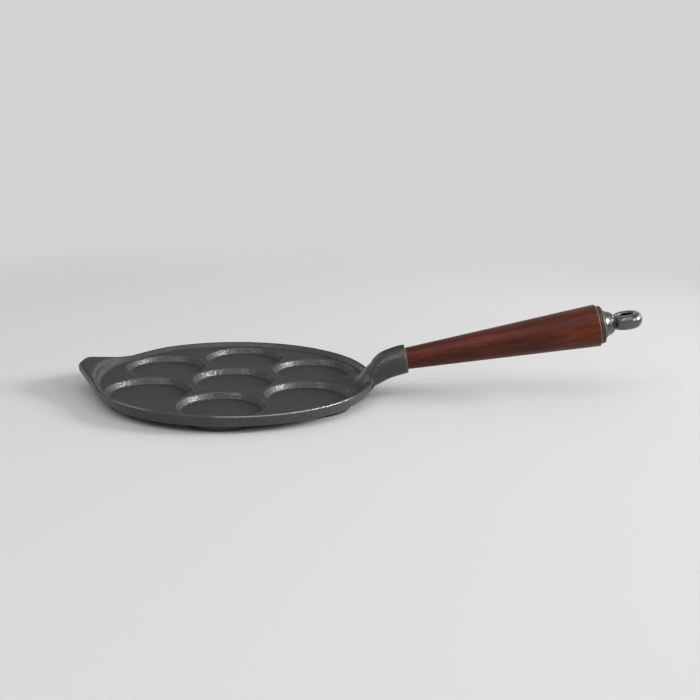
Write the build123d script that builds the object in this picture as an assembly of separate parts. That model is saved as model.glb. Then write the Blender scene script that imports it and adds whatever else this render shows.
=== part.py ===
from build123d import *
from collections import namedtuple
import math
import os

# A pan for small pancakes. One iron casting makes the disc with its seven round wells, the rim, the
# lifting lug and the handle socket. A turned wooden grip sits on the socket. A steel rod with a hanging
# eye on its end passes through the grip and screws into the socket, which clamps the grip in place.
# Millimetres, +Z up, +X towards the grip. The origin is the centre of the disc on the resting plane.

# Wells and the web between them
WELL_R = 31.6
WELL_DRAFT = 2.5
WELL_DEPTH = 5.2
WELL_FLOOR_FILLET = 0.9
WELL_LIP = 0.6
WELL_GAP = 3.7
RING_WELLS = 6
WEB_T = 4.7
FLOOR_T = 5.2
FOOT_WALL = 2.4
FOOT_DRAFT = 1.2
FOOT_ROUND = 1.2

# Rim round the disc
RIM_W = 3.0
RIM_H = 3.8
RIM_SLOPE = 3.0
RIM_LEDGE = 1.2
RIM_DRAFT = 1.5
RIM_OUTER_ROUND = 0.8
RIM_INNER_ROUND = 1.5
RIM_FOOT_ROUND = 1.4
RIM_ROOT_FILLET = 2.0

# Lifting lug, opposite the handle
LUG_REACH = 13.4
LUG_TIP_HALF_W = 8.2
LUG_ROOT_ANGLE = 21.0
LUG_CORNER = 7.5
LUG_BLEND = 90.0
LUG_RUN = 28.5
LUG_RISE = 11.2
LUG_BEND = 19.0
LUG_NOSE = 3.6
LUG_WALL_SETBACK = 0.9

# Handle socket, part of the casting
HANDLE_TILT = 11.65
SOCKET_REACH = 26.9
SOCKET_RISE = 17.2
SOCKET_R = 12.0
MOUTH_R = 11.7
MOUTH_ROUND = 0.6
SEAT_DEPTH = 6.0
SEAT_STEP = 0.9
THREAD_DEPTH = 15.8

# Neck between the disc and the socket. Root sections are placed from the rim's outer edge and top,
# barrel sections from the mouth: back along the handle's axis and down from it.
RootSection = namedtuple("RootSection", "out up half_w half_h tilt")
BarrelSection = namedtuple("BarrelSection", "back drop half_h extra_tilt")
NECK_ROOT = (
    RootSection(out=-5.5, up=-2.4, half_w=12.4, half_h=6.0, tilt=38.0),
    RootSection(out=3.2, up=5.25, half_w=12.6, half_h=9.45, tilt=38.0),
)
BARREL = (
    BarrelSection(back=21.0, drop=3.8, half_h=11.0, extra_tilt=19.0),
    BarrelSection(back=12.5, drop=1.3, half_h=11.8, extra_tilt=8.0),
    BarrelSection(back=6.5, drop=0.5, half_h=12.0, extra_tilt=2.0),
)

# Ramp that rises from the web to the neck: distance inside the rim, rise above the web, half width
RampSection = namedtuple("RampSection", "inside rise half_w")
RAMP = (
    RampSection(inside=24.0, rise=-0.2, half_w=25.0),
    RampSection(inside=17.0, rise=1.4, half_w=25.0),
    RampSection(inside=12.0, rise=5.0, half_w=23.0),
    RampSection(inside=7.5, rise=10.6, half_w=20.0),
    RampSection(inside=3.0, rise=15.8, half_w=16.0),
)
RAMP_SINK = 0.3
RAMP_POINTS = 8
RAMP_FULLNESS = 1.35

# Cheeks: the rim's band swings out on both sides of the neck and climbs with it
CHEEK_HALF_W = 11.8
CHEEK_REACH = 6.5
CHEEK_BLEND = 5.0
CHEEK_BACK = 15.0
CHEEK_TOP_SLOPE = 45.0
CHEEK_FOOT_SLOPE = 56.0

# Wooden grip
GRIP_L = 157.2
GRIP_SMALL_R = 8.93
GRIP_LARGE_R = 17.25
GRIP_END_ROUND = 1.3
GRIP_START_ROUND = 0.5

# Rod, washer and hanging eye
ROD_R = 4.0
ROD_TIP_GAP = 1.8
ROD_TIP_CHAMFER = 0.6
ROD_HOLD = 7.0
WASHER_R = 15.4
WASHER_T = 4.2
WASHER_ROUND = 1.6
COLLAR_R = 11.7
COLLAR_EDGE = 1.2
COLLAR_WAIST_R = 9.4
BEAD_R = 9.8
BEAD_TOP_R = 8.4
COLLAR_L = 7.3
CONE_L = 4.2
COLLAR_ROUND = 0.4
CONE_ROUND = 1.6
WAIST_ROUND = 0.3
BEAD_ROUND = 0.6
EYE_HOLE_R = 6.0
EYE_WALL = 6.7
EYE_H = 11.6
EYE_TOP_W = 3.5
EYE_LIP_ROUND = 1.5
EYE_SHOULDER_ROUND = 1.0
EYE_NECK_R = 7.2
EYE_NECK_START = 1.0
EYE_NECK_L = 2.3
EYE_NECK_END_R = 5.4
EYE_SINK = 0.9

# Clearances of what fits together
SEAT_CLEARANCE = 0.05
THREAD_CLEARANCE = 0.05
BORE_CLEARANCE = 0.4
ROD_CLEARANCE = 0.08
PRESS = 0.01

# Places that follow from the sizes above
LIP_R = WELL_R + WELL_DRAFT + WELL_LIP
WELL_PITCH = 2 * LIP_R + WELL_GAP
DISC_R = WELL_PITCH + LIP_R + RIM_LEDGE + RIM_SLOPE + RIM_W
WEB_TOP = FLOOR_T + WELL_DEPTH
WEB_BOTTOM = WEB_TOP - WEB_T
RIM_TOP = WEB_TOP + RIM_H
BAND_H = RIM_TOP - WEB_BOTTOM
MOUTH_X = DISC_R + SOCKET_REACH
MOUTH_Z = RIM_TOP + SOCKET_RISE
SEAT_R = GRIP_SMALL_R - SEAT_STEP
COLLAR_START = GRIP_L + WASHER_T
EYE_R = EYE_HOLE_R + EYE_WALL
EYE_CENTRE = COLLAR_START + COLLAR_L + EYE_R - EYE_SINK
TILT_SIN = math.sin(math.radians(HANDLE_TILT))
TILT_COS = math.cos(math.radians(HANDLE_TILT))

# Inner radius of turned profiles, small enough to lie inside every solid, and a gap for comparisons
CORE_R = 1.0
NEAR = 0.01


def polar(radius, degrees):
    """Point in the plan at a radius and an angle."""
    return (radius * math.cos(math.radians(degrees)), radius * math.sin(math.radians(degrees)))


def turned(corners, rounds):
    """Solid turned about Z from (radius, height) corners, each but the first and last rounded."""
    low = corners[0][1]
    high = corners[-1][1]
    with BuildPart() as made:
        with BuildSketch(Plane.XZ):
            with BuildLine():
                edge = FilletPolyline(*corners, radius=rounds)
                Polyline(edge @ 1, (0, high), (0, low), edge @ 0)
            make_face()
        revolve(axis=Axis.Z)
    return made.part


def rod_bore(radius):
    """Long cylinder about Z, to cut a through bore."""
    return Cylinder(radius, 3 * GRIP_L)


def on_handle(solid):
    """Move a solid made along Z from the origin onto the handle's axis, with +Y turned upwards."""
    seat = Plane(origin=(MOUTH_X, 0, MOUTH_Z), x_dir=(0, 1, 0), z_dir=(TILT_COS, 0, TILT_SIN))
    return seat.location * solid


def well_places():
    """Centres of the wells in the plan: one in the middle and the ring round it."""
    step = 360 / RING_WELLS
    return [(0, 0)] + [polar(WELL_PITCH, step / 2 + step * k) for k in range(RING_WELLS)]


def well_cut():
    """What is taken out for one well: drafted wall, filleted floor and rounded lip."""
    corners = [
        (CORE_R, WEB_TOP - WELL_DEPTH),
        (WELL_R, WEB_TOP - WELL_DEPTH),
        (WELL_R + WELL_DRAFT, WEB_TOP),
        (LIP_R, WEB_TOP),
        (LIP_R, WEB_TOP + WELL_LIP),
    ]
    return turned(corners, [WELL_FLOOR_FILLET, WELL_LIP, 0])


def well_foot():
    """The thick round floor of one well, which stands out below the web and rests on the hob."""
    foot_r = WELL_R + FOOT_WALL
    corners = [
        (CORE_R, 0),
        (foot_r, 0),
        (foot_r + FOOT_DRAFT, WEB_BOTTOM),
        (foot_r + FOOT_DRAFT, WEB_TOP - WELL_LIP),
    ]
    return turned(corners, [FOOT_ROUND, 0])


def disc():
    """The web with its raised rim."""
    corners = [
        (CORE_R, WEB_BOTTOM),
        (DISC_R - RIM_DRAFT, WEB_BOTTOM),
        (DISC_R, RIM_TOP),
        (DISC_R - RIM_W, RIM_TOP),
        (DISC_R - RIM_W - RIM_SLOPE, WEB_TOP),
        (CORE_R, WEB_TOP),
    ]
    return turned(corners, [RIM_FOOT_ROUND, RIM_OUTER_ROUND, RIM_INNER_ROUND, RIM_ROOT_FILLET])


def dish_cut():
    """The space over the web inside the rim, with the slope of the rim's inner wall carried upwards."""
    wall_r = DISC_R - RIM_W
    corners = [
        (CORE_R, 0),
        (wall_r - RIM_SLOPE, 0),
        (wall_r, RIM_H),
        (wall_r + LUG_WALL_SETBACK, RIM_H + 2 * LUG_RISE),
    ]
    return Pos(0, 0, WEB_TOP) * turned(corners, 0)


def banded(plan, upwards):
    """Solid of a plan at the rim's top: drafted down over the height of the rim's band, and straight up."""
    draft = math.degrees(math.atan2(RIM_DRAFT, BAND_H))
    return extrude(plan, -BAND_H, taper=draft) + extrude(plan, upwards)


def lug():
    """Rounded ear on the rim: its drafted plan is cut out of a slab that climbs to the tip."""
    tip_x = DISC_R + LUG_REACH
    root_x, root_y = polar(DISC_R, LUG_ROOT_ANGLE)
    with BuildSketch(Plane.XY.offset(RIM_TOP)) as plan:
        Circle(DISC_R)
        with BuildLine():
            Polyline(
                (0, root_y), (-root_x, root_y), (-tip_x, LUG_TIP_HALF_W),
                (-tip_x, -LUG_TIP_HALF_W), (-root_x, -root_y), (0, -root_y), close=True,
            )
        make_face()
        fillet(plan.vertices().filter_by(lambda v: abs(v.X + tip_x) < NEAR), LUG_CORNER)
        fillet(plan.vertices().filter_by(lambda v: abs(v.X + root_x) < NEAR), LUG_BLEND)
    foot_x = tip_x - LUG_RUN
    with BuildSketch(Plane.XZ) as side:
        with BuildLine():
            edge = FilletPolyline(
                (0, RIM_TOP), (-foot_x, RIM_TOP), (-tip_x, RIM_TOP + LUG_RISE),
                (-tip_x, WEB_BOTTOM + LUG_RISE), (-foot_x, WEB_BOTTOM), (0, WEB_BOTTOM),
                radius=[LUG_BEND, LUG_NOSE, LUG_NOSE, LUG_BEND],
            )
            Line(edge @ 1, edge @ 0)
        make_face()
    slab = extrude(side.sketch, DISC_R, both=True)
    return (banded(plan.sketch, 2 * LUG_RISE) & slab) - dish_cut()


def cheeks():
    """Where the rim's band swings outwards on both sides of the neck and climbs with it."""
    end_x = DISC_R + CHEEK_REACH
    with BuildSketch(Plane.XY.offset(RIM_TOP)) as plan:
        Circle(DISC_R)
        with Locations((end_x / 2, 0)):
            Rectangle(end_x, 2 * CHEEK_HALF_W)
        fillet(plan.vertices().filter_by(lambda v: 0 < v.X < DISC_R), CHEEK_BLEND)
    foot_x = DISC_R - RIM_DRAFT
    top_x = DISC_R - RIM_W / 2
    top_z = RIM_TOP + (end_x - top_x) * math.tan(math.radians(CHEEK_TOP_SLOPE))
    foot_z = WEB_BOTTOM + (end_x - foot_x) * math.tan(math.radians(CHEEK_FOOT_SLOPE))
    back_x = DISC_R - CHEEK_BACK
    with BuildSketch(Plane.XZ) as side:
        with BuildLine():
            Polyline(
                (back_x, RIM_TOP), (top_x, RIM_TOP), (end_x, top_z),
                (end_x, foot_z), (foot_x, WEB_BOTTOM), (back_x, WEB_BOTTOM), close=True,
            )
        make_face()
    slab = extrude(side.sketch, DISC_R, both=True)
    return (banded(plan.sketch, top_z - RIM_TOP) & slab) - dish_cut()


def ramp():
    """Smooth rise from the web up to the neck, lofted through bell-shaped sections."""
    base_z = WEB_TOP - RAMP_SINK
    faces = []
    for cut in RAMP:
        bell = []
        for k in range(RAMP_POINTS + 1):
            across = 2 * k / RAMP_POINTS - 1
            swell = (1 + math.cos(math.pi * abs(across) ** RAMP_FULLNESS)) / 2
            bell.append((across * cut.half_w, base_z + (cut.rise + RAMP_SINK) * swell))
        at = Plane(origin=(DISC_R - cut.inside, 0, 0), x_dir=(0, 1, 0), z_dir=(1, 0, 0))
        with BuildSketch(at) as section:
            with BuildLine():
                top = Spline(*bell)
                low = WEB_BOTTOM + RAMP_SINK
                Polyline(top @ 1, (cut.half_w, low), (-cut.half_w, low), top @ 0)
            make_face()
        faces.append(section.sketch.face())
    return loft(faces)


def neck():
    """Neck and barrel of the socket, blended through ellipses from inside the web to the round mouth."""
    sections = [
        (DISC_R + cut.out, RIM_TOP + cut.up, cut.half_w, cut.half_h, cut.tilt) for cut in NECK_ROOT
    ]
    for cut in BARREL:
        x = MOUTH_X - cut.back * TILT_COS + cut.drop * TILT_SIN
        z = MOUTH_Z - cut.back * TILT_SIN - cut.drop * TILT_COS
        sections.append((x, z, SOCKET_R, cut.half_h, HANDLE_TILT + cut.extra_tilt))
    sections.append((MOUTH_X, MOUTH_Z, MOUTH_R, MOUTH_R, HANDLE_TILT))
    faces = []
    for x, z, half_w, half_h, tilt in sections:
        slope = math.radians(tilt)
        at = Plane(origin=(x, 0, z), x_dir=(0, 1, 0), z_dir=(math.cos(slope), 0, math.sin(slope)))
        faces.append(at * Ellipse(half_w, half_h))
    barrel = loft(faces)
    mouth = barrel.faces().sort_by(Axis.X)[-1]
    return fillet(mouth.edges(), MOUTH_ROUND)


def pan_casting():
    """The whole iron casting, with the seat and the tapped hole in its socket."""
    body = disc() + lug() + cheeks() + ramp() + neck()
    for x, y in well_places():
        body += Pos(x, y) * well_foot()
    for x, y in well_places():
        body -= Pos(x, y) * well_cut()
    upwards = (Align.CENTER, Align.CENTER, Align.MIN)
    seat = Pos(0, 0, -SEAT_DEPTH) * Cylinder(SEAT_R + SEAT_CLEARANCE, 2 * SEAT_DEPTH, align=upwards)
    tapped = Pos(0, 0, -SEAT_DEPTH - THREAD_DEPTH) * Cylinder(
        ROD_R + THREAD_CLEARANCE, 2 * THREAD_DEPTH, align=upwards
    )
    return body - on_handle(seat) - on_handle(tapped)


def wood_grip():
    """Turned grip: a spigot that sits in the socket, a long taper, and a bore for the rod."""
    start = -SEAT_DEPTH + SEAT_CLEARANCE
    corners = [
        (CORE_R, start),
        (SEAT_R, start),
        (SEAT_R, 0),
        (GRIP_SMALL_R, 0),
        (GRIP_LARGE_R, GRIP_L),
        (CORE_R, GRIP_L),
    ]
    body = turned(corners, [GRIP_START_ROUND, 0, GRIP_START_ROUND, GRIP_END_ROUND])
    return on_handle(body - rod_bore(ROD_R + BORE_CLEARANCE))


def end_washer():
    """Dark disc between the wide end of the grip and the bright collar."""
    corners = [(CORE_R, 0), (WASHER_R, 0), (WASHER_R, WASHER_T), (CORE_R, WASHER_T)]
    body = turned(corners, [0, WASHER_ROUND])
    return on_handle(Pos(0, 0, GRIP_L) * (body - rod_bore(ROD_R + ROD_CLEARANCE)))


def collar():
    """Cone with a bead on it, and the short neck of the ring."""
    corners = [
        (CORE_R, 0),
        (COLLAR_R, 0),
        (COLLAR_R, COLLAR_EDGE),
        (COLLAR_WAIST_R, CONE_L),
        (BEAD_R, CONE_L + BEAD_ROUND),
        (BEAD_TOP_R, COLLAR_L),
        (EYE_NECK_R, COLLAR_L + EYE_NECK_START),
        (EYE_NECK_END_R, COLLAR_L + EYE_NECK_START + EYE_NECK_L),
    ]
    rounds = [COLLAR_ROUND, CONE_ROUND, WAIST_ROUND, BEAD_ROUND, BEAD_ROUND, BEAD_ROUND]
    return Pos(0, 0, COLLAR_START) * turned(corners, rounds)


def eye_section():
    """Section of the ring: a straight wall round the hole, rounded lips and a bulging outside."""
    top = EYE_H / 2
    shoulder_r = EYE_HOLE_R + EYE_TOP_W
    with BuildSketch(Plane.XY) as section:
        with BuildLine():
            bulge = ThreePointArc((shoulder_r, top), (EYE_R, 0), (shoulder_r, -top))
            Polyline(bulge @ 1, (EYE_HOLE_R, -top), (EYE_HOLE_R, top), bulge @ 0)
        make_face()
        fillet(section.vertices().filter_by(lambda v: v.X < EYE_HOLE_R + NEAR), EYE_LIP_ROUND)
        fillet(section.vertices().filter_by(lambda v: abs(v.X - shoulder_r) < NEAR), EYE_SHOULDER_ROUND)
    return section.sketch


def hanging_eye():
    """Stepped collar, short neck and the ring that the pan hangs by, in one piece."""
    ring = Pos(0, 0, EYE_CENTRE) * revolve(eye_section(), axis=Axis.Y)
    hole = Pos(0, 0, EYE_CENTRE) * (Rot(90, 0, 0) * Cylinder(EYE_HOLE_R, 2 * EYE_H))
    rod_hole = Pos(0, 0, COLLAR_START) * Cylinder(
        ROD_R, ROD_HOLD, align=(Align.CENTER, Align.CENTER, Align.MIN)
    )
    return on_handle(collar() - hole + ring - rod_hole)


def tie_rod():
    """Steel rod from inside the collar, through the grip, to the tapped hole of the socket."""
    start = -SEAT_DEPTH - THREAD_DEPTH + ROD_TIP_GAP
    end = COLLAR_START + ROD_HOLD
    corners = [
        (CORE_R, start),
        (ROD_R - ROD_TIP_CHAMFER, start),
        (ROD_R, start + ROD_TIP_CHAMFER),
        (ROD_R, COLLAR_START),
        (ROD_R + PRESS, COLLAR_START),
        (ROD_R + PRESS, end),
        (CORE_R, end),
    ]
    return on_handle(turned(corners, 0))


NODES = {
    "pan_casting": pan_casting,
    "wood_grip": wood_grip,
    "end_washer": end_washer,
    "hanging_eye": hanging_eye,
    "tie_rod": tie_rod,
}

os.makedirs("parts", exist_ok=True)
for name, make in NODES.items():
    export_step(make(), "parts/" + name + ".step")
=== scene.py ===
"""Looks of a cast iron pan for small pancakes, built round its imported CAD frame."""

import logging
import math
from dataclasses import dataclass
from enum import Enum
from typing import Optional, Sequence

import bmesh
import bpy
import numpy as np
from mathutils import Matrix, Vector


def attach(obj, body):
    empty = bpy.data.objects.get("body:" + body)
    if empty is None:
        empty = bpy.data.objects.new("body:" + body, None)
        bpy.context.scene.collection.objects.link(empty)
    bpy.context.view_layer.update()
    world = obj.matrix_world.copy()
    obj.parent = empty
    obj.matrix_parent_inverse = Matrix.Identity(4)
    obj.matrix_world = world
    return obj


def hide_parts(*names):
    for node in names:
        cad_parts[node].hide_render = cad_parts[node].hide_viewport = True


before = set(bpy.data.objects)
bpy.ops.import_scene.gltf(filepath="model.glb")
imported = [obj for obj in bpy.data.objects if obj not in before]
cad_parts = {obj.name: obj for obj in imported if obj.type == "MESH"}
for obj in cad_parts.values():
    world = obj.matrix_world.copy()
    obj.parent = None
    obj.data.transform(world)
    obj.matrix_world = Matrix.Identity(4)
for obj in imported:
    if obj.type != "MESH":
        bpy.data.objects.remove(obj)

LOG = logging.getLogger("blini_pan")
MM = 0.001
MERGE_DISTANCE = 0.002
NORMAL_WEIGHT = 80
MIX_FACTOR, MIX_FIRST, MIX_SECOND = 0, 6, 7
MIX_COLOUR = 2
Colour = tuple[float, float, float, float]


class Body(Enum):
    """Moving bodies of the pan."""

    PAN = "pan"
    GRIP = "grip"
    EYE_BOLT = "eye_bolt"


class Slot(Enum):
    """Material slots of the record."""

    CAST_IRON = "cast_iron"
    LACQUERED_WOOD = "lacquered_wood"
    BLACKENED_STEEL = "blackened_steel"
    POLISHED_STEEL = "polished_steel"
    PLAIN_STEEL = "plain_steel"


class Side(Enum):
    """How a turned profile is closed."""

    LOOP = "loop"
    OPEN = "open"


def grey(level: float) -> Colour:
    """Opaque grey of one level."""
    return (level, level, level, 1.0)


# The handle's axis


@dataclass(frozen=True)
class HandleAxis:
    """Straight axis of the handle, from the mouth of the socket outwards. Sizes in millimetres."""

    mouth: tuple[float, float, float] = (141.9, 0.0, 31.4)
    tilt: float = 11.65

    @property
    def origin(self) -> Vector:
        """Centre of the socket's mouth, in metres."""
        return Vector(self.mouth) * MM

    @property
    def along(self) -> Vector:
        """Unit vector from the socket to the hanging eye."""
        slope = math.radians(self.tilt)
        return Vector((math.cos(slope), 0.0, math.sin(slope)))

    @property
    def upwards(self) -> Vector:
        """Unit vector square to the axis, in the upright plane."""
        slope = math.radians(self.tilt)
        return Vector((-math.sin(slope), 0.0, math.cos(slope)))

    def point(self, s: float, r: float) -> Vector:
        """Point on the upper side of the handle.

        Args:
            s: Millimetres along the axis from the mouth.
            r: Millimetres out from the axis.

        Returns:
            The point in metres.
        """
        return self.origin + self.along * (s * MM) + self.upwards * (r * MM)


@dataclass(frozen=True)
class Corner:
    """Corner of a turned profile: place along the axis, radius, and how far it is rounded."""

    s: float
    r: float
    rounding: float = 0.0


HANDLE = HandleAxis()


# Shader graphs


@dataclass
class Graph:
    """Adds nodes to a shader tree and links them."""

    tree: bpy.types.NodeTree

    def node(self, kind: str, **settings: object) -> bpy.types.Node:
        """Add a node with its settings."""
        made = self.tree.nodes.new(kind)
        for name, value in settings.items():
            setattr(made, name, value)
        return made

    def feed(self, node: bpy.types.Node, **values: object) -> bpy.types.Node:
        """Set or link inputs of a node.

        Args:
            node: The node that takes the values.
            values: Input names with underscores for spaces, and a number, colour or socket each.

        Returns:
            The same node.
        """
        for name, value in values.items():
            self.put(node.inputs[name.replace("_", " ")], value)
        return node

    def put(self, target: bpy.types.NodeSocket, value: object) -> None:
        """Link an output to an input, or set the input's number."""
        if isinstance(value, bpy.types.NodeSocket):
            self.tree.links.new(value, target)
        else:
            target.default_value = value

    def math(self, operation: str, *values: object, clamp: bool = False) -> bpy.types.NodeSocket:
        """One step of arithmetic."""
        made = self.node("ShaderNodeMath", operation=operation, use_clamp=clamp)
        for target, value in zip(made.inputs, values):
            self.put(target, value)
        return made.outputs[0]

    def span(self, value: object, low: float, high: float, start: float = 0.0,
             end: float = 1.0) -> bpy.types.NodeSocket:
        """Smooth step of a value between two limits.

        Args:
            value: The value that is read.
            low: Where the step starts.
            high: Where the step ends.
            start: Result at and below low.
            end: Result at and above high.

        Returns:
            The step's output.
        """
        made = self.node("ShaderNodeMapRange", interpolation_type="SMOOTHSTEP")
        self.feed(made, Value=value, From_Min=low, From_Max=high, To_Min=start, To_Max=end)
        return made.outputs["Result"]

    def mix(self, factor: object, first: object, second: object) -> bpy.types.NodeSocket:
        """Mix two colours."""
        made = self.node("ShaderNodeMix", data_type="RGBA")
        self.put(made.inputs[MIX_FACTOR], factor)
        self.put(made.inputs[MIX_FIRST], first)
        self.put(made.inputs[MIX_SECOND], second)
        return made.outputs[MIX_COLOUR]

    def noise(self, vector: object, scale: object, detail: float = 3.0, roughness: float = 0.5,
              distortion: float = 0.0) -> bpy.types.NodeSocket:
        """Noise value at a place."""
        made = self.node("ShaderNodeTexNoise")
        self.feed(made, Vector=vector, Scale=scale, Detail=detail, Roughness=roughness)
        self.feed(made, Distortion=distortion)
        return made.outputs["Fac"]

    def place(self) -> bpy.types.NodeSocket:
        """Object coordinates."""
        return self.node("ShaderNodeTexCoord").outputs["Object"]

    def attribute(self, name: str) -> bpy.types.NodeSocket:
        """Value of a mesh attribute."""
        return self.node("ShaderNodeAttribute", attribute_name=name).outputs["Fac"]

    def bump(self, height: object, strength: float, distance: float,
             normal: Optional[object] = None) -> bpy.types.NodeSocket:
        """Bump from a height.

        Args:
            height: Height output.
            strength: Strength of the bump.
            distance: Height of a full step, in metres.
            normal: Normal to start from.

        Returns:
            The bumped normal.
        """
        made = self.node("ShaderNodeBump")
        self.feed(made, Height=height, Strength=strength, Distance=distance)
        if normal is not None:
            self.put(made.inputs["Normal"], normal)
        return made.outputs["Normal"]

    def group(self, effect: "Effect", **values: object) -> bpy.types.Node:
        """Place a node group with its own values."""
        made = self.node("ShaderNodeGroup")
        made.node_tree = effect.tree()
        return self.feed(made, **values)


class Effect:
    """Shader effect that more than one finish uses, kept as a node group and built once."""

    name = "effect"
    inputs: tuple[tuple[str, str, float], ...] = ()
    outputs: tuple[tuple[str, str], ...] = ()

    def tree(self) -> bpy.types.NodeTree:
        """Return the group, and build it the first time."""
        found = bpy.data.node_groups.get(self.name)
        if found is not None:
            return found
        made = bpy.data.node_groups.new(self.name, "ShaderNodeTree")
        for label, kind, default in self.inputs:
            socket = made.interface.new_socket(name=label, in_out="INPUT", socket_type=kind)
            if kind == "NodeSocketFloat":
                socket.default_value = default
        for label, kind in self.outputs:
            made.interface.new_socket(name=label, in_out="OUTPUT", socket_type=kind)
        graph = Graph(made)
        start = graph.node("NodeGroupInput")
        end = graph.node("NodeGroupOutput")
        self.build(graph, start, end)
        return made

    def build(self, graph: Graph, start: bpy.types.Node, end: bpy.types.Node) -> None:
        """Fill the group between its input and output nodes."""
        raise NotImplementedError


class SandGrain(Effect):
    """Sandy relief: rounded grains with a few deeper pits."""

    name = "sand_grain"
    inputs = (
        ("Vector", "NodeSocketVector", 0.0),
        ("Scale", "NodeSocketFloat", 900.0),
        ("Pits", "NodeSocketFloat", 0.4),
    )
    outputs = (("Height", "NodeSocketFloat"), ("Mask", "NodeSocketFloat"))

    def build(self, graph: Graph, start: bpy.types.Node, end: bpy.types.Node) -> None:
        """Sum two sizes of grain and take the pits away."""
        vector = start.outputs["Vector"]
        scale = start.outputs["Scale"]
        fine = graph.noise(vector, scale, 1.0, 0.5)
        coarse = graph.noise(vector, graph.math("MULTIPLY", scale, 0.45), 1.0, 0.5)
        cells = graph.node("ShaderNodeTexVoronoi", feature="SMOOTH_F1")
        graph.feed(cells, Vector=vector, Scale=graph.math("MULTIPLY", scale, 0.21), Smoothness=0.4)
        pit = graph.span(cells.outputs["Distance"], 0.12, 0.34, 1.0, 0.0)
        grains = graph.math("ADD", graph.math("MULTIPLY", fine, 0.6), graph.math("MULTIPLY", coarse, 0.4))
        depth = graph.math("MULTIPLY", pit, start.outputs["Pits"])
        graph.feed(end, Height=graph.math("SUBTRACT", grains, depth))
        graph.feed(end, Mask=graph.span(grains, 0.42, 0.62))


class Mottle(Effect):
    """Soft clouds of tone over the surface."""

    name = "mottle"
    inputs = (
        ("Vector", "NodeSocketVector", 0.0),
        ("Scale", "NodeSocketFloat", 40.0),
        ("Contrast", "NodeSocketFloat", 1.0),
    )
    outputs = (("Mask", "NodeSocketFloat"),)

    def build(self, graph: Graph, start: bpy.types.Node, end: bpy.types.Node) -> None:
        """Stretch a noise round its middle."""
        cloud = graph.noise(start.outputs["Vector"], start.outputs["Scale"], 4.0, 0.55, 0.3)
        middle = graph.math("SUBTRACT", cloud, 0.5)
        wider = graph.math("MULTIPLY", middle, graph.math("MULTIPLY", start.outputs["Contrast"], 2.6))
        graph.feed(end, Mask=graph.math("ADD", wider, 0.5, clamp=True))


class EdgeWear(Effect):
    """Worn outer edges, broken up by grain."""

    name = "edge_wear"
    inputs = (
        ("Vector", "NodeSocketVector", 0.0),
        ("Edge", "NodeSocketFloat", 0.0),
        ("Amount", "NodeSocketFloat", 0.5),
        ("Scale", "NodeSocketFloat", 300.0),
    )
    outputs = (("Mask", "NodeSocketFloat"),)

    def build(self, graph: Graph, start: bpy.types.Node, end: bpy.types.Node) -> None:
        """Raise the edge by noise and cut it at a level set by the amount."""
        speckle = graph.noise(start.outputs["Vector"], start.outputs["Scale"], 4.0, 0.65)
        lifted = graph.math("MULTIPLY", start.outputs["Edge"], graph.math("ADD", speckle, 0.5))
        level = graph.math("SUBTRACT", 1.0, start.outputs["Amount"])
        over = graph.math("SUBTRACT", lifted, level)
        graph.feed(end, Mask=graph.math("MULTIPLY", over, 4.0, clamp=True))


# Finishes


@dataclass(frozen=True)
class Finish:
    """A surface finish that dresses a mesh with its own material."""

    name: str = "finish"
    slot: Slot = Slot.CAST_IRON

    def material(self) -> bpy.types.Material:
        """Return the material, and build it the first time."""
        title = self.name + "_finish"
        found = bpy.data.materials.get(title)
        if found is not None:
            return found
        made = bpy.data.materials.new(title)
        made.use_nodes = True
        made.node_tree.nodes.clear()
        graph = Graph(made.node_tree)
        shader = graph.node("ShaderNodeBsdfPrincipled")
        out = graph.node("ShaderNodeOutputMaterial")
        graph.put(out.inputs["Surface"], shader.outputs[0])
        self.build(graph, shader)
        return made

    def build(self, graph: Graph, shader: bpy.types.Node) -> None:
        """Connect the shader's inputs."""
        raise NotImplementedError

    def dress(self, piece: bpy.types.Object) -> None:
        """Give a piece this finish."""
        piece.data.materials.clear()
        piece.data.materials.append(self.material())


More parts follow.
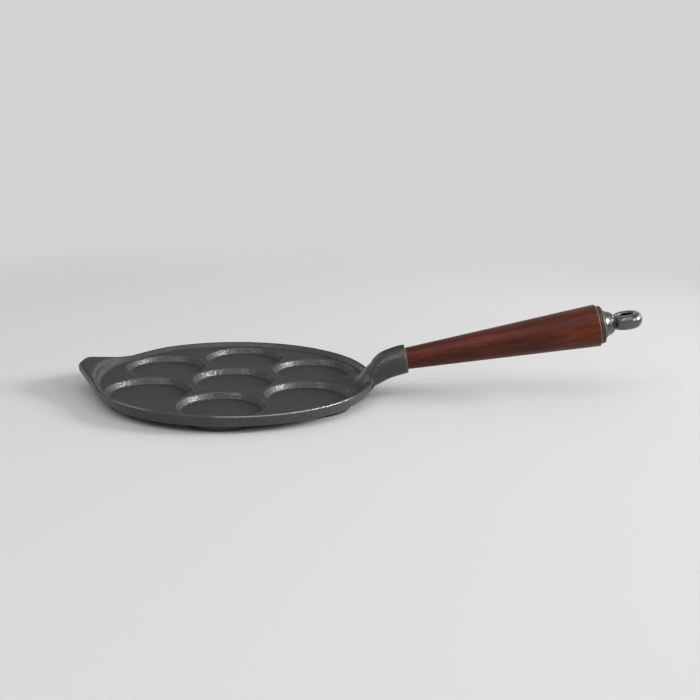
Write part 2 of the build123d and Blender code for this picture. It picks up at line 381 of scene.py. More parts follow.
@dataclass(frozen=True)
class CastIron(Finish):
    """Sand-cast blackened iron, with painted shade on its level faces and a bright band round its rim's top
    edge that is partly rubbed bare metal and partly a painted highlight.

    The band fades in and out over the pairs of rim_band_: distances from the rim's outer top edge in
    millimetres, and places along x in metres for the two ends of the band.
    """

    name: str = "cast_iron"
    slot: Slot = Slot.CAST_IRON
    # dark and pale are painted lighter for the light the sloped faces catch; the next two tones are painted
    # shade on the level, upward faces.
    dark: Colour = (0.020, 0.0176, 0.0166, 1.0)
    pale: Colour = (0.046, 0.0405, 0.0380, 1.0)
    shaded_level_dark: Colour = (0.0050, 0.0046, 0.0041, 1.0)
    shaded_level_pale: Colour = (0.0130, 0.0121, 0.0110, 1.0)
    # Bright colour of worn edges and of the rim band, which is partly a painted highlight.
    bare_and_highlight: Colour = (0.30, 0.285, 0.27, 1.0)
    slope_rough: float = 0.28
    flat_rough: float = 0.80
    specular: float = 0.60
    rim_r: float = 115.0
    rim_top: float = 14.2
    # The rim band is partly rubbed bare metal and partly a painted highlight line along the rim's top edge.
    rim_band_in: tuple[float, float] = (1.2, 0.7)
    rim_band_out: float = 0.5
    rim_band_down: tuple[float, float] = (0.9, 0.45)
    rim_band_up: tuple[float, float] = (0.15, 0.6)
    rim_band_lug_x: tuple[float, float] = (-0.096, -0.080)
    rim_band_handle_x: tuple[float, float] = (0.098, 0.103)

    def rim_wear_and_highlight(self, graph: Graph, place: bpy.types.NodeSocket) -> bpy.types.NodeSocket:
        """Mask of the narrow band round the rim's outer top edge: rubbed bare metal and a painted highlight
        line.
        """
        parts = graph.node("ShaderNodeSeparateXYZ")
        graph.feed(parts, Vector=place)
        x, y, z = parts.outputs
        squares = graph.math("ADD", graph.math("MULTIPLY", x, x), graph.math("MULTIPLY", y, y))
        radius = graph.math("SQRT", squares)
        r, top = self.rim_r, self.rim_top
        outside = graph.span(radius, (r - self.rim_band_in[0]) * MM, (r - self.rim_band_in[1]) * MM)
        inside = graph.span(radius, r * MM, (r + self.rim_band_out) * MM, 1.0, 0.0)
        above = graph.span(z, (top - self.rim_band_down[0]) * MM, (top - self.rim_band_down[1]) * MM)
        below = graph.span(z, (top + self.rim_band_up[0]) * MM, (top + self.rim_band_up[1]) * MM, 1.0, 0.0)
        ring = graph.math("MULTIPLY", outside, inside)
        band = graph.math("MULTIPLY", above, below)
        # Patches break up the painted highlight line and keep it between the lug and the handle.
        patches = graph.span(graph.noise(place, 11.0, 1.0), 0.36, 0.58, 0.35, 1.0)
        patches = graph.math("MULTIPLY", patches, graph.span(x, *self.rim_band_lug_x))
        patches = graph.math("MULTIPLY", patches, graph.span(x, *self.rim_band_handle_x, 1.0, 0.0))
        return graph.math("MULTIPLY", graph.math("MULTIPLY", ring, band), patches)

    def build(self, graph: Graph, shader: bpy.types.Node) -> None:
        """Sandy relief, clouds of tone, painted shade on level faces and painted light on slopes, worn
        edges and the rim band of rubbed metal and painted highlight.
        """
        place = graph.place()
        grain = graph.group(SandGrain(), Vector=place, Scale=560.0, Pits=0.30)
        clouds = graph.group(Mottle(), Vector=place, Scale=34.0, Contrast=0.9)
        speckle = graph.group(Mottle(), Vector=place, Scale=420.0, Contrast=1.1)
        tone = graph.math("MULTIPLY", clouds.outputs["Mask"], 0.55)
        tone = graph.math("ADD", tone, graph.math("MULTIPLY", speckle.outputs["Mask"], 0.45))
        # Painted light and shade: level, upward faces get the darker tones and sloped faces the paler ones.
        level = graph.attribute("level")
        lit_slope_tone = graph.mix(tone, self.dark, self.pale)
        base = graph.mix(level, lit_slope_tone, graph.mix(tone, self.shaded_level_dark, self.shaded_level_pale))
        edge = graph.group(EdgeWear(), Vector=place, Edge=graph.attribute("edge"), Amount=0.42, Scale=380.0)
        # Rim band: rubbed bare metal and a painted highlight, drawn bright and metallic in the base colour.
        rim = self.rim_wear_and_highlight(graph, place)
        rubbed_and_highlight = graph.group(EdgeWear(), Vector=place, Edge=rim, Amount=0.55, Scale=150.0)
        worn = graph.math("MULTIPLY", edge.outputs["Mask"], 0.08)
        bare_and_highlight = graph.math("MAXIMUM", worn, graph.math("MULTIPLY", rubbed_and_highlight.outputs["Mask"], 0.8))
        graph.feed(shader, Base_Color=graph.mix(bare_and_highlight, base, self.bare_and_highlight))
        graph.feed(shader, Metallic=graph.math("MULTIPLY", bare_and_highlight, 0.85))
        flat_rough = graph.math("MULTIPLY", level, self.flat_rough - self.slope_rough)
        rough = graph.math("ADD", self.slope_rough, flat_rough)
        rough = graph.math("ADD", rough, graph.math("MULTIPLY", grain.outputs["Mask"], 0.12))
        rough = graph.math("SUBTRACT", rough, graph.math("MULTIPLY", bare_and_highlight, 0.14))
        graph.feed(shader, Roughness=rough)
        coarse = graph.bump(clouds.outputs["Mask"], strength=0.10, distance=0.0004)
        fine = graph.bump(grain.outputs["Height"], strength=0.8, distance=0.0007, normal=coarse)
        graph.feed(shader, Normal=fine)
        shader.inputs["Specular IOR Level"].default_value = self.specular


@dataclass(frozen=True)
class LacqueredWood(Finish):
    """Dark red-brown stained hardwood under satin lacquer, with lengthwise streaks."""

    name: str = "lacquered_wood"
    slot: Slot = Slot.LACQUERED_WOOD
    deep: Colour = (0.038, 0.0064, 0.0024, 1.0)
    middle: Colour = (0.078, 0.0124, 0.0038, 1.0)
    warm: Colour = (0.140, 0.026, 0.0065, 1.0)
    # Pale end colour: rubbed bare wood and a painted highlight of the rounded end edges.
    bare_and_highlight: Colour = (0.42, 0.25, 0.17, 1.0)
    broad_share: float = 0.36
    fine_share: float = 0.32
    cloud_share: float = 0.32
    specular: float = 0.20
    coat: float = 0.06
    coat_rough: float = 0.25
    length: float = 157.2

    def handle_place(self, graph: Graph) -> bpy.types.NodeSocket:
        """Coordinates along and across the handle, from its mouth."""
        turned = graph.node("ShaderNodeMapping", vector_type="TEXTURE")
        graph.feed(turned, Vector=graph.place(), Location=HANDLE.origin[:])
        turned.inputs["Rotation"].default_value = (0.0, -math.radians(HANDLE.tilt), 0.0)
        return turned.outputs[0]

    def stretched(self, graph: Graph, place: bpy.types.NodeSocket, along: float,
                  across: float, detail: float) -> bpy.types.NodeSocket:
        """Noise drawn out along the handle.

        Args:
            graph: The material's graph.
            place: Coordinates along and across the handle.
            along: Scale along the handle.
            across: Scale across it.
            detail: Detail of the noise.

        Returns:
            The noise value.
        """
        drawn = graph.node("ShaderNodeMapping")
        graph.feed(drawn, Vector=place)
        drawn.inputs["Scale"].default_value = (along, across, across)
        return graph.noise(drawn.outputs[0], 1.0, detail, roughness=0.62, distortion=0.25)

    def build(self, graph: Graph, shader: bpy.types.Node) -> None:
        """Streaks, pores, pale ends of rubbed wood and painted highlight on the rounded end edges, and
        lacquer.
        """
        place = self.handle_place(graph)
        parts = graph.node("ShaderNodeSeparateXYZ")
        graph.feed(parts, Vector=place)
        wide = self.stretched(graph, place, along=9.0, across=130.0, detail=4.0)
        broad = graph.span(wide, 0.34, 0.68)
        narrow = self.stretched(graph, place, along=30.0, across=620.0, detail=5.0)
        fine = graph.span(narrow, 0.36, 0.66)
        threads = self.stretched(graph, place, along=55.0, across=1900.0, detail=2.0)
        pores = graph.span(threads, 0.60, 0.72)
        clouds = graph.group(Mottle(), Vector=place, Scale=22.0, Contrast=0.8)
        tone = graph.math("MULTIPLY", broad, self.broad_share)
        tone = graph.math("ADD", tone, graph.math("MULTIPLY", fine, self.fine_share))
        tone = graph.math("ADD", tone, graph.math("MULTIPLY", clouds.outputs["Mask"], self.cloud_share))
        low = graph.mix(graph.span(tone, 0.18, 0.55), self.deep, self.middle)
        stain = graph.mix(graph.span(tone, 0.50, 0.92), low, self.warm)
        pitted = graph.math("MULTIPLY", pores, 0.55)
        stain = graph.mix(pitted, stain, self.deep)
        # Pale ends: rubbed bare wood and a painted highlight of the rounded end edges.
        along = parts.outputs[0]
        near_end = graph.span(along, 0.0003, 0.0011, 1.0, 0.0)
        far_end = graph.span(along, (self.length - 1.3) * MM, (self.length - 0.5) * MM)
        ends = graph.math("MAXIMUM", near_end, graph.math("MULTIPLY", far_end, 0.55))
        rubbed_and_highlight = graph.group(EdgeWear(), Vector=place, Edge=ends, Amount=0.5, Scale=420.0)
        bare_and_highlight = graph.math("MULTIPLY", rubbed_and_highlight.outputs["Mask"], 0.8)
        graph.feed(shader, Base_Color=graph.mix(bare_and_highlight, stain, self.bare_and_highlight))
        rough = graph.math("ADD", 0.38, graph.math("MULTIPLY", fine, 0.12))
        graph.feed(shader, Roughness=graph.math("ADD", rough, graph.math("MULTIPLY", bare_and_highlight, 0.25)))
        relief = graph.math("SUBTRACT", graph.math("MULTIPLY", fine, 0.35), pores)
        graph.feed(shader, Normal=graph.bump(relief, strength=0.18, distance=0.00012))
        shader.inputs["Specular IOR Level"].default_value = self.specular
        shader.inputs["Coat Weight"].default_value = self.coat
        shader.inputs["Coat Roughness"].default_value = self.coat_rough


@dataclass(frozen=True)
class Steel(Finish):
    """Steel with fine turning marks, faint stains and brighter edges."""

    name: str = "steel"
    slot: Slot = Slot.POLISHED_STEEL
    dark: Colour = grey(0.2)
    pale: Colour = grey(0.4)
    edge: Colour = grey(0.6)
    metallic: float = 1.0
    smooth: float = 0.18
    rough: float = 0.30
    marks: float = 0.03
    wear: float = 0.4

    def build(self, graph: Graph, shader: bpy.types.Node) -> None:
        """Tone, roughness and turning marks."""
        place = graph.place()
        clouds = graph.group(Mottle(), Vector=place, Scale=90.0, Contrast=1.0)
        grain = graph.group(SandGrain(), Vector=place, Scale=1800.0, Pits=0.15)
        worn = graph.group(EdgeWear(), Vector=place, Edge=graph.attribute("edge"), Amount=self.wear,
                           Scale=500.0)
        base = graph.mix(clouds.outputs["Mask"], self.dark, self.pale)
        graph.feed(shader, Base_Color=graph.mix(worn.outputs["Mask"], base, self.edge))
        shader.inputs["Metallic"].default_value = self.metallic
        step = graph.math("MULTIPLY", grain.outputs["Mask"], self.rough - self.smooth)
        graph.feed(shader, Roughness=graph.math("ADD", step, self.smooth))
        relief = graph.bump(grain.outputs["Height"], strength=self.marks, distance=0.0002)
        graph.feed(shader, Normal=relief)


CAST_IRON = CastIron()
WOOD = LacqueredWood()
BLACKENED = Steel(
    name="blackened_steel", slot=Slot.BLACKENED_STEEL, dark=(0.030, 0.024, 0.018, 1.0),
    pale=(0.060, 0.048, 0.036, 1.0), edge=(0.12, 0.10, 0.08, 1.0), metallic=0.55, smooth=0.34,
    rough=0.5, marks=0.12,
)
POLISHED = Steel(
    name="polished_steel", slot=Slot.POLISHED_STEEL, dark=(0.10, 0.096, 0.092, 1.0),
    pale=(0.17, 0.165, 0.16, 1.0), edge=(0.35, 0.34, 0.33, 1.0), smooth=0.16, rough=0.26, marks=0.02,
)
PLAIN = Steel(
    name="plain_steel", slot=Slot.PLAIN_STEEL, dark=(0.32, 0.31, 0.30, 1.0),
    pale=(0.48, 0.47, 0.45, 1.0), edge=(0.60, 0.59, 0.57, 1.0), smooth=0.26, rough=0.42, marks=0.08,
)


# Meshes


def finished(mesh: bmesh.types.BMesh, name: str) -> bpy.types.Object:
    """Turn a bmesh into a smooth piece in the scene.

    Args:
        mesh: The bmesh, which is freed.
        name: Name of the piece.

    Returns:
        The new object.
    """
    bmesh.ops.remove_doubles(mesh, verts=mesh.verts, dist=MERGE_DISTANCE * MM)
    bmesh.ops.recalc_face_normals(mesh, faces=mesh.faces)
    for face in mesh.faces:
        face.smooth = True
    data = bpy.data.meshes.new(name)
    mesh.to_mesh(data)
    mesh.free()
    made = bpy.data.objects.new(name, data)
    bpy.context.scene.collection.objects.link(made)
    return made


def even_normals(piece: bpy.types.Object) -> None:
    """Keep broad faces flat next to narrow roundings."""
    weighted = piece.modifiers.new("even_normals", "WEIGHTED_NORMAL")
    weighted.keep_sharp = True
    weighted.weight = NORMAL_WEIGHT


def profile_wire(mesh: bmesh.types.BMesh, corners: Sequence[Corner], side: Side,
                 arc_steps: int) -> list[bmesh.types.BMEdge]:
    """Draw a turned profile beside the handle's axis, with its corners rounded.

    Args:
        mesh: The bmesh that takes the wire.
        corners: Corners of the profile in order.
        side: Whether the profile closes on itself.
        arc_steps: Segments of each rounding.

    Returns:
        The edges of the wire.
    """
    points = [mesh.verts.new(HANDLE.point(c.s, c.r)) for c in corners]
    pairs = list(zip(points, points[1:]))
    if side is Side.LOOP:
        pairs.append((points[-1], points[0]))
    for first, second in pairs:
        mesh.edges.new((first, second))
    for corner, point in zip(corners, points):
        if corner.rounding > 0:
            bmesh.ops.bevel(mesh, geom=[point], offset=corner.rounding * MM, offset_type="OFFSET",
                            affect="VERTICES", segments=arc_steps, profile=0.5, material=-1)
    return list(mesh.edges)


def turned(name: str, corners: Sequence[Corner], side: Side = Side.LOOP, steps: int = 96,
           arc_steps: int = 5) -> bpy.types.Object:
    """Turn a profile about the handle's axis.

    Args:
        name: Name of the piece.
        corners: Corners of the profile.
        side: Whether the profile closes on itself.
        steps: Divisions round the axis.
        arc_steps: Segments of each rounding.

    Returns:
        The new piece.
    """
    mesh = bmesh.new()
    wire = profile_wire(mesh, corners, side, arc_steps)
    bmesh.ops.spin(mesh, geom=list(mesh.verts) + wire, cent=HANDLE.origin, axis=HANDLE.along,
                   angle=2 * math.pi, steps=steps, use_merge=True, use_duplicate=False)
    made = finished(mesh, name)
    even_normals(made)
    return made


def merged_copy(node: bpy.types.Object, name: str) -> bpy.types.Object:
    """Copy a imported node's mesh with its loose triangles joined."""
    mesh = bmesh.new()
    mesh.from_mesh(node.data)
    return finished(mesh, name)


def bake(piece: bpy.types.Object) -> None:
    """Apply every modifier of a piece."""
    graph = bpy.context.evaluated_depsgraph_get()
    data = bpy.data.meshes.new_from_object(piece.evaluated_get(graph), depsgraph=graph)
    old = piece.data
    piece.modifiers.clear()
    piece.data = data
    bpy.data.meshes.remove(old)
    for polygon in data.polygons:
        polygon.use_smooth = True


def add_remesh(piece: bpy.types.Object, voxel: float) -> None:
    """Give a piece an even mesh of voxels, with their size in millimetres."""
    remesh = piece.modifiers.new("even_mesh", "REMESH")
    remesh.mode = "VOXEL"
    remesh.voxel_size = voxel * MM


def add_smooth(piece: bpy.types.Object, name: str, rounds: int) -> bpy.types.Modifier:
    """Add a smoothing of so many rounds, each half way to the neighbours."""
    smooth = piece.modifiers.new(name, "SMOOTH")
    smooth.factor = 0.5
    smooth.iterations = rounds
    return smooth


def vertex_rows(data: bpy.types.Mesh, field: str) -> np.ndarray:
    """Places or normals of a mesh's vertices, one row each.

    Args:
        data: The mesh.
        field: Either co, for places in metres, or normal.

    Returns:
        The rows.
    """
    rows = np.zeros(len(data.vertices) * 3)
    data.vertices.foreach_get(field, rows)
    return rows.reshape(-1, 3)


def store(data: bpy.types.Mesh, name: str, values: np.ndarray) -> None:
    """Store one value for each vertex as a mesh attribute."""
    layer = data.attributes.new(name, "FLOAT", "POINT")
    layer.data.foreach_set("value", values.astype(np.float32))


def mark_edges(piece: bpy.types.Object, rounds: int, full: float) -> None:
    """Store how far each vertex stands out of its surroundings, as the attribute edge.

    Args:
        piece: The piece, with vertices at even distances.
        rounds: How often the value is spread to the neighbours.
        full: Height over the neighbours, in millimetres, at which the value is 1.
    """
    data = piece.data
    count = len(data.vertices)
    places = vertex_rows(data, "co")
    normals = vertex_rows(data, "normal")
    ends = np.zeros(len(data.edges) * 2, dtype=np.int64)
    data.edges.foreach_get("vertices", ends)
    first, second = ends.reshape(-1, 2).T
    links = np.bincount(first, minlength=count) + np.bincount(second, minlength=count)
    links = np.maximum(links, 1)

    def mean_of_neighbours(values: np.ndarray) -> np.ndarray:
        """Average each vertex's neighbours."""
        total = np.bincount(first, values[second], count) + np.bincount(second, values[first], count)
        return total / links

    spread = places
    for _ in range(rounds):
        spread = np.column_stack([mean_of_neighbours(spread[:, axis]) for axis in range(3)])
    height = ((places - spread) * normals).sum(axis=1) / (full * MM)
    store(data, "edge", np.clip(height, 0.0, 1.0))


def mark_level(piece: bpy.types.Object, steep: float, flat: float) -> None:
    """Store where the surface lies level and faces upwards, as the attribute level.

    Args:
        piece: The piece.
        steep: Upward share of the normal at which the value is 0.
        flat: Upward share of the normal at which the value is 1.
    """
    upward = vertex_rows(piece.data, "normal")[:, 2]
    share = (upward - steep) / (flat - steep)
    store(piece.data, "level", np.clip(share, 0.0, 1.0))


# Sub-assemblies


@dataclass(frozen=True)
class RoundWall:
    """Upright wall turned about a vertical axis: lower and upper (radius, height) in millimetres."""

    low: tuple[float, float]
    high: tuple[float, float]
    centre: tuple[float, float] = (0.0, 0.0)
    reach: float = 0.35
    margin: float = 0.12

    def true_up(self, places: np.ndarray) -> None:
        """Move the points that lie on the wall onto its exact cone.

        Args:
            places: Points in metres, changed in place.
        """
        across = places[:, :2] - np.array(self.centre) * MM
        radius = np.hypot(across[:, 0], across[:, 1])
        share = (places[:, 2] / MM - self.low[1]) / (self.high[1] - self.low[1])
        wanted = (self.low[0] + (self.high[0] - self.low[0]) * share) * MM
        on_wall = np.abs(radius - wanted) < self.reach * MM
        on_wall &= (share > self.margin) & (share < 1.0 - self.margin)
        stretch = (wanted[on_wall] / radius[on_wall])[:, None]
        places[on_wall, :2] = across[on_wall] * stretch + np.array(self.centre) * MM


@dataclass(frozen=True)
class SoftEnd:
    """End of the casting that is rounded further. Sizes in millimetres.

    shares holds (x, share) pairs, and the share fades in between the two radii of from_r.
    """

    name: str
    shares: tuple[tuple[float, float], ...]
    rounds: int
    from_r: tuple[float, float] = (0.0, 1.0)
    steps: int = 12

    def soften(self, piece: bpy.types.Object) -> None:
        """Add a smoothing that fades in over the end.

        Args:
            piece: The casting, with vertices at even distances.
        """
        group = piece.vertex_groups.new(name=self.name)
        places = vertex_rows(piece.data, "co") / MM
        limits, levels = zip(*self.shares)
        share = np.interp(places[:, 0], limits, levels)
        share *= np.interp(np.hypot(places[:, 0], places[:, 1]), self.from_r, (0.0, 1.0))
        steps = np.round(share * self.steps)
        for step in range(1, self.steps + 1):
            group.add(np.flatnonzero(steps == step).tolist(), step / self.steps, "REPLACE")
        add_smooth(piece, self.name, self.rounds).vertex_group = self.name


@dataclass
class Casting:
    """The iron casting: disc, wells, rim, lug and handle socket."""

    node: str = "pan_casting"
    voxel: float = 0.56
    smooth_rounds: int = 4
    edge_rounds: int = 4
    edge_full: float = 0.12
    steep: float = 0.72
    flat: float = 0.93
    keep: float = 0.23
    rim_inside: RoundWall = RoundWall((109.0, 10.4), (112.0, 14.2), margin=0.22)
    rim_outside: RoundWall = RoundWall((113.5, 5.7), (115.0, 14.2), margin=0.22)
    well_low: tuple[float, float] = (31.6, 5.2)
    well_high: tuple[float, float] = (34.1, 10.4)
    well_pitch: float = 73.1
    ring_wells: int = 6
    soft_lug: SoftEnd = SoftEnd("soft_lug", ((-98.0, 1.0), (-74.0, 0.0)), 170, (106.0, 110.0))
    soft_neck: SoftEnd = SoftEnd(
        "soft_neck", ((96.0, 0.0), (106.0, 1.0), (128.0, 1.0), (137.0, 0.0)), 60)

    def walls(self) -> list[RoundWall]:
        """Walls of the rim and of the wells."""
        centres = [(0.0, 0.0)]
        for well in range(self.ring_wells):
            turn = 2 * math.pi * (well + 0.5) / self.ring_wells
            centres.append((self.well_pitch * math.cos(turn), self.well_pitch * math.sin(turn)))
        wells = [RoundWall(self.well_low, self.well_high, centre) for centre in centres]
        return [self.rim_inside, self.rim_outside] + wells

    def build(self) -> bpy.types.Object:
        """Soften the machined shape into a sand casting."""
        piece = merged_copy(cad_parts[self.node], "iron_casting")
        add_remesh(piece, self.voxel)
        bake(piece)
        places = vertex_rows(piece.data, "co")
        for wall in self.walls():
            wall.true_up(places)
        piece.data.vertices.foreach_set("co", places.ravel())
        add_smooth(piece, "soft_edges", self.smooth_rounds)
        for end in (self.soft_lug, self.soft_neck):
            end.soften(piece)
        bake(piece)
        mark_edges(piece, self.edge_rounds, self.edge_full)
        mark_level(piece, self.steep, self.flat)
        thin = piece.modifiers.new("fewer_faces", "DECIMATE")
        thin.ratio = self.keep
        bake(piece)
        return piece

    def dress(self) -> bpy.types.Object:
        """Build the casting, give it its iron and tie it to its body."""
        piece = self.build()
        CAST_IRON.dress(piece)
        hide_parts(self.node)
        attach(piece, Body.PAN.value)
        return piece


@dataclass
class Grip:
    """The turned wooden grip and the washer on its end."""

    length: float = 157.2
    small_r: float = 8.93
    large_r: float = 17.2
    start_round: float = 0.5
    end_round: float = 1.3
    spigot_r: float = 7.95
    spigot_l: float = 5.9
    bore_r: float = 4.4
    bore_round: float = 0.4
    washer_r: float = 15.4
    washer_t: float = 4.2
    washer_round: float = 1.6
    washer_start_round: float = 0.2
    washer_bore: float = 4.1
    steps: int = 128
    arc_steps: int = 6

    def wood(self) -> bpy.types.Object:
        """Turn the grip with its spigot and bore."""
        corners = (
            Corner(-self.spigot_l, self.bore_r, self.bore_round),
            Corner(-self.spigot_l, self.spigot_r, self.start_round),
            Corner(0.0, self.spigot_r),
            Corner(0.0, self.small_r, self.start_round),
            Corner(self.length, self.large_r, self.end_round),
            Corner(self.length, self.bore_r, self.bore_round),
        )
        return turned("wooden_grip", corners, steps=self.steps, arc_steps=self.arc_steps)

    def washer(self) -> bpy.types.Object:
        """Turn the washer."""
        start = self.length
        end = start + self.washer_t
        corners = (
            Corner(start, self.washer_bore),
            Corner(start, self.washer_r, self.washer_start_round),
            Corner(end, self.washer_r, self.washer_round),
            Corner(end, self.washer_bore),
        )
        return turned("grip_washer", corners, steps=self.steps, arc_steps=self.arc_steps)

    def dress(self) -> list[bpy.types.Object]:
        """Build both pieces, finish them and tie them to their body."""
        wood = self.wood()
        WOOD.dress(wood)
        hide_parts("wood_grip")
        washer = self.washer()
        BLACKENED.dress(washer)
        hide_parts("end_washer")
        for piece in (wood, washer):
            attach(piece, Body.GRIP.value)
        return [wood, washer]


@dataclass
class EyeBolt:
    """Polished collar with the hanging ring, and the threaded rod behind it."""

    rod_end: float = 168.3
    rod_r: float = 3.9
    rod_tip: float = -20.0
    rod_tip_round: float = 0.5
    rod_steps: int = 64
    core_r: float = 3.30
    pitch: float = 1.25
    turns: int = 12
    turn_steps: int = 36
    thread_start: float = -19.6
    thread_end: float = -4.4
    thread_runout: float = 0.5
    thread_sink: float = 0.1
    thread_under: float = 0.05
    foot_share: float = 0.44
    crest_share: float = 0.10
    voxel: float = 0.26
    smooth_rounds: int = 6
    edge_rounds: int = 4
    edge_full: float = 0.06

    def ring(self) -> bpy.types.Object:
        """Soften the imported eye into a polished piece."""
        piece = merged_copy(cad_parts["hanging_eye"], "hanging_ring")
        add_remesh(piece, self.voxel)
        add_smooth(piece, "soft_edges", self.smooth_rounds)
        bake(piece)
        mark_edges(piece, self.edge_rounds, self.edge_full)
        return piece

    def rod(self) -> bpy.types.Object:
        """Turn the rod and wind its thread round the tip."""
        corners = (
            Corner(self.rod_tip, 0.0),
            Corner(self.rod_tip, self.core_r, self.rod_tip_round),
            Corner(self.thread_end, self.core_r),
            Corner(self.thread_end + self.thread_runout, self.rod_r),
            Corner(self.rod_end, self.rod_r),
            Corner(self.rod_end, 0.0),
        )
        rod = turned("tie_rod_steel", corners, Side.OPEN, steps=self.rod_steps, arc_steps=3)
        mesh = bmesh.new()
        mesh.from_mesh(rod.data)
        self.wind_thread(mesh)
        mesh.to_mesh(rod.data)
        mesh.free()
        return rod

    def wind_thread(self, mesh: bmesh.types.BMesh) -> None:
        """Sweep one ridge of the thread along its helix and close both ends."""
        root = self.core_r - self.thread_sink
        crest = self.rod_r - self.thread_under
        foot = self.foot_share * self.pitch
        top = self.crest_share * self.pitch
        start = self.thread_start
        outline = ((-foot, root), (-top, crest), (top, crest), (foot, root))
        corners = [mesh.verts.new(HANDLE.point(start + s, r)) for s, r in outline]
        ridge = mesh.faces.new(corners)
        steps = self.turn_steps * self.turns
        lift = HANDLE.along * (self.pitch * self.turns * MM / steps)
        swept = bmesh.ops.spin(mesh, geom=[ridge], cent=HANDLE.origin, axis=HANDLE.along, dvec=lift,
                               angle=2 * math.pi * self.turns, steps=steps, use_duplicate=False)
        faces = [ridge] + [item for item in swept["geom_last"] if isinstance(item, bmesh.types.BMFace)]
        joined = set(faces)
        edges = list({edge for face in joined for edge in face.edges})
        while edges:
            wider = {face for edge in edges for face in edge.link_faces} - joined
            joined |= wider
            edges = list({edge for face in wider for edge in face.edges})
        bmesh.ops.recalc_face_normals(mesh, faces=list(joined))

    def dress(self) -> list[bpy.types.Object]:
        """Build both pieces, finish them and tie them to their body."""
        ring = self.ring()
        POLISHED.dress(ring)
        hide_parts("hanging_eye")
        rod = self.rod()
        PLAIN.dress(rod)
        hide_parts("tie_rod")
        for piece in (ring, rod):
            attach(piece, Body.EYE_BOLT.value)
        return [ring, rod]


# Studio


@dataclass
class Camera:
    """Camera at the photograph's angle. Place, lens and sensor in millimetres, clip in metres."""

    place: tuple[float, float, float] = (110.127, -814.716, 241.004)
    right: tuple[float, float, float] = (0.99955, 0.023036, 0.019223)
    above: tuple[float, float, float] = (-0.024232, 0.242039, 0.969964)
    back: tuple[float, float, float] = (0.017692, -0.969993, 0.242488)
    lens: float = 52.558
    sensor: float = 36.0
    clip: tuple[float, float] = (0.01, 50.0)

    def build(self) -> None:
        """Make the camera and give it to the scene."""
        data = bpy.data.cameras.new("camera")
        data.sensor_width = self.sensor
        data.lens = self.lens
        data.clip_start, data.clip_end = self.clip
        camera = bpy.data.objects.new("camera", data)
        bpy.context.scene.collection.objects.link(camera)
        turn = Matrix((self.right, self.above, self.back)).transposed()
        camera.matrix_world = Matrix.Translation(Vector(self.place) * MM) @ turn.to_4x4()
        bpy.context.scene.camera = camera


@dataclass(frozen=True)
class Lamp:
    """Square softbox. Place and aim in metres."""

    name: str
    place: tuple[float, float, float]
    aim: tuple[float, float, float]
    size: float
    power: float

    def build(self) -> None:
        """Hang the softbox."""
        data = bpy.data.lights.new(self.name, "AREA")
        data.shape = "SQUARE"
        data.size = self.size
        data.energy = self.power
        lamp = bpy.data.objects.new(self.name, data)
        bpy.context.scene.collection.objects.link(lamp)
        lamp.location = self.place
        sight = Vector(self.aim) - Vector(self.place)
        lamp.rotation_euler = sight.to_track_quat("-Z", "Y").to_euler()


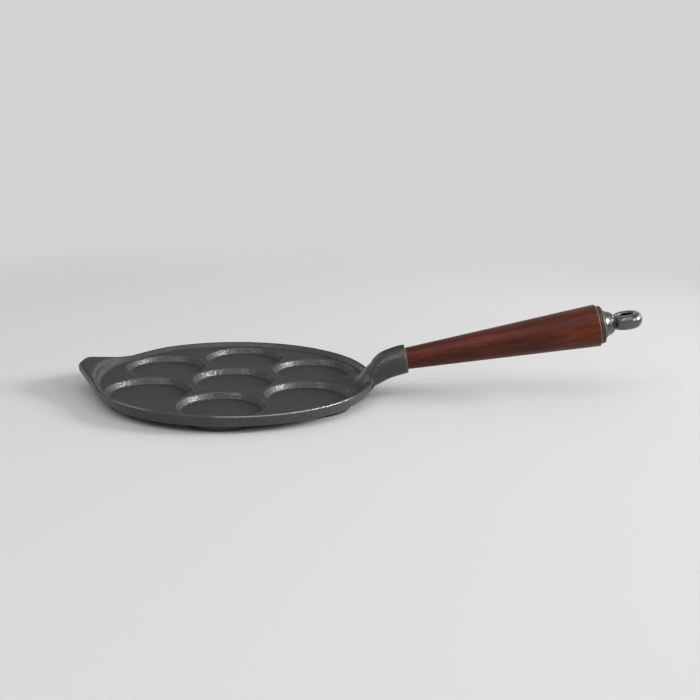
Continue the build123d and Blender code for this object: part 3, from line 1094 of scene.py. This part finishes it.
@dataclass
class Studio:
    """Pale floor, softboxes and a plain pale surround. Sizes in metres, fade_to as a share of floor_r."""

    floor_r: float = 0.95
    floor_steps: int = 96
    fade_from: float = 0.42
    fade_to: float = 0.98
    floor_gap: float = 0.0002
    floor_tone: Colour = (0.63, 0.625, 0.63, 1.0)
    floor_rough: float = 0.9
    floor_specular: float = 0.1
    surround: float = 0.65
    ambient: float = 0.44
    lamps: tuple[Lamp, ...] = (
        Lamp("key", (3.00, 0.0, 1.16), (0.0, 0.0, 0.01), 0.95, 88.0),
        Lamp("back_right", (2.40, 1.33, 0.86), (0.0, 0.0, 0.01), 1.0, 9.0),
        Lamp("front_right", (2.10, -1.45, 1.30), (0.0, 0.0, 0.01), 1.0, 15.0),
        Lamp("left_fill", (-1.42, -1.80, 2.05), (0.06, 0.0, 0.01), 0.9, 11.0),
        Lamp("overhead", (0.20, -1.95, 3.10), (0.08, 0.0, 0.0), 3.2, 32.0),
    )

    def floor(self) -> None:
        """Lay the floor."""
        mesh = bmesh.new()
        bmesh.ops.create_circle(mesh, cap_ends=True, segments=self.floor_steps, radius=self.floor_r)
        bmesh.ops.translate(mesh, verts=mesh.verts, vec=(0.0, 0.0, -self.floor_gap))
        floor = finished(mesh, "floor")
        material = bpy.data.materials.new("pale_floor")
        material.use_nodes = True
        graph = Graph(material.node_tree)
        shader = material.node_tree.nodes["Principled BSDF"]
        shader.inputs["Base Color"].default_value = self.floor_tone
        shader.inputs["Roughness"].default_value = self.floor_rough
        shader.inputs["Specular IOR Level"].default_value = self.floor_specular
        length = graph.node("ShaderNodeVectorMath", operation="LENGTH")
        graph.put(length.inputs[0], graph.place())
        edge = self.floor_r * self.fade_to
        fade = graph.span(length.outputs["Value"], self.fade_from, edge, 1.0, 0.0)
        graph.put(shader.inputs["Alpha"], fade)
        floor.data.materials.append(material)

    def world(self) -> None:
        """Light the surround, and show its own tone to camera and gloss."""
        world = bpy.data.worlds.new("studio")
        world.use_nodes = True
        world.node_tree.nodes.clear()
        graph = Graph(world.node_tree)
        light = graph.feed(graph.node("ShaderNodeBackground"), Color=grey(1.0), Strength=self.ambient)
        shown = graph.feed(graph.node("ShaderNodeBackground"), Color=grey(self.surround), Strength=1.0)
        path = graph.node("ShaderNodeLightPath")
        seen = graph.math("MAXIMUM", path.outputs["Is Camera Ray"], path.outputs["Is Glossy Ray"])
        seen = graph.math("MAXIMUM", seen, path.outputs["Is Transmission Ray"])
        both = graph.node("ShaderNodeMixShader")
        graph.put(both.inputs[0], seen)
        graph.put(both.inputs[1], light.outputs[0])
        graph.put(both.inputs[2], shown.outputs[0])
        out = graph.node("ShaderNodeOutputWorld")
        graph.put(out.inputs["Surface"], both.outputs[0])
        bpy.context.scene.world = world

    def build(self) -> None:
        """Set up the whole studio."""
        self.floor()
        self.world()
        for lamp in self.lamps:
            lamp.build()
        bpy.context.scene.view_settings.view_transform = "Standard"


def report(piece: bpy.types.Object) -> None:
    """Log a piece's name and face count."""
    LOG.info("%s: %d faces", piece.name, len(piece.data.polygons))


def main() -> None:
    """Build the pan, the studio and the camera."""
    logging.basicConfig(level=logging.INFO, format="%(name)s %(message)s")
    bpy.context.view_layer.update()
    report(Casting().dress())
    for piece in Grip().dress() + EyeBolt().dress():
        report(piece)
    Studio().build()
    Camera().build()


if __name__ == "__main__":
    main()
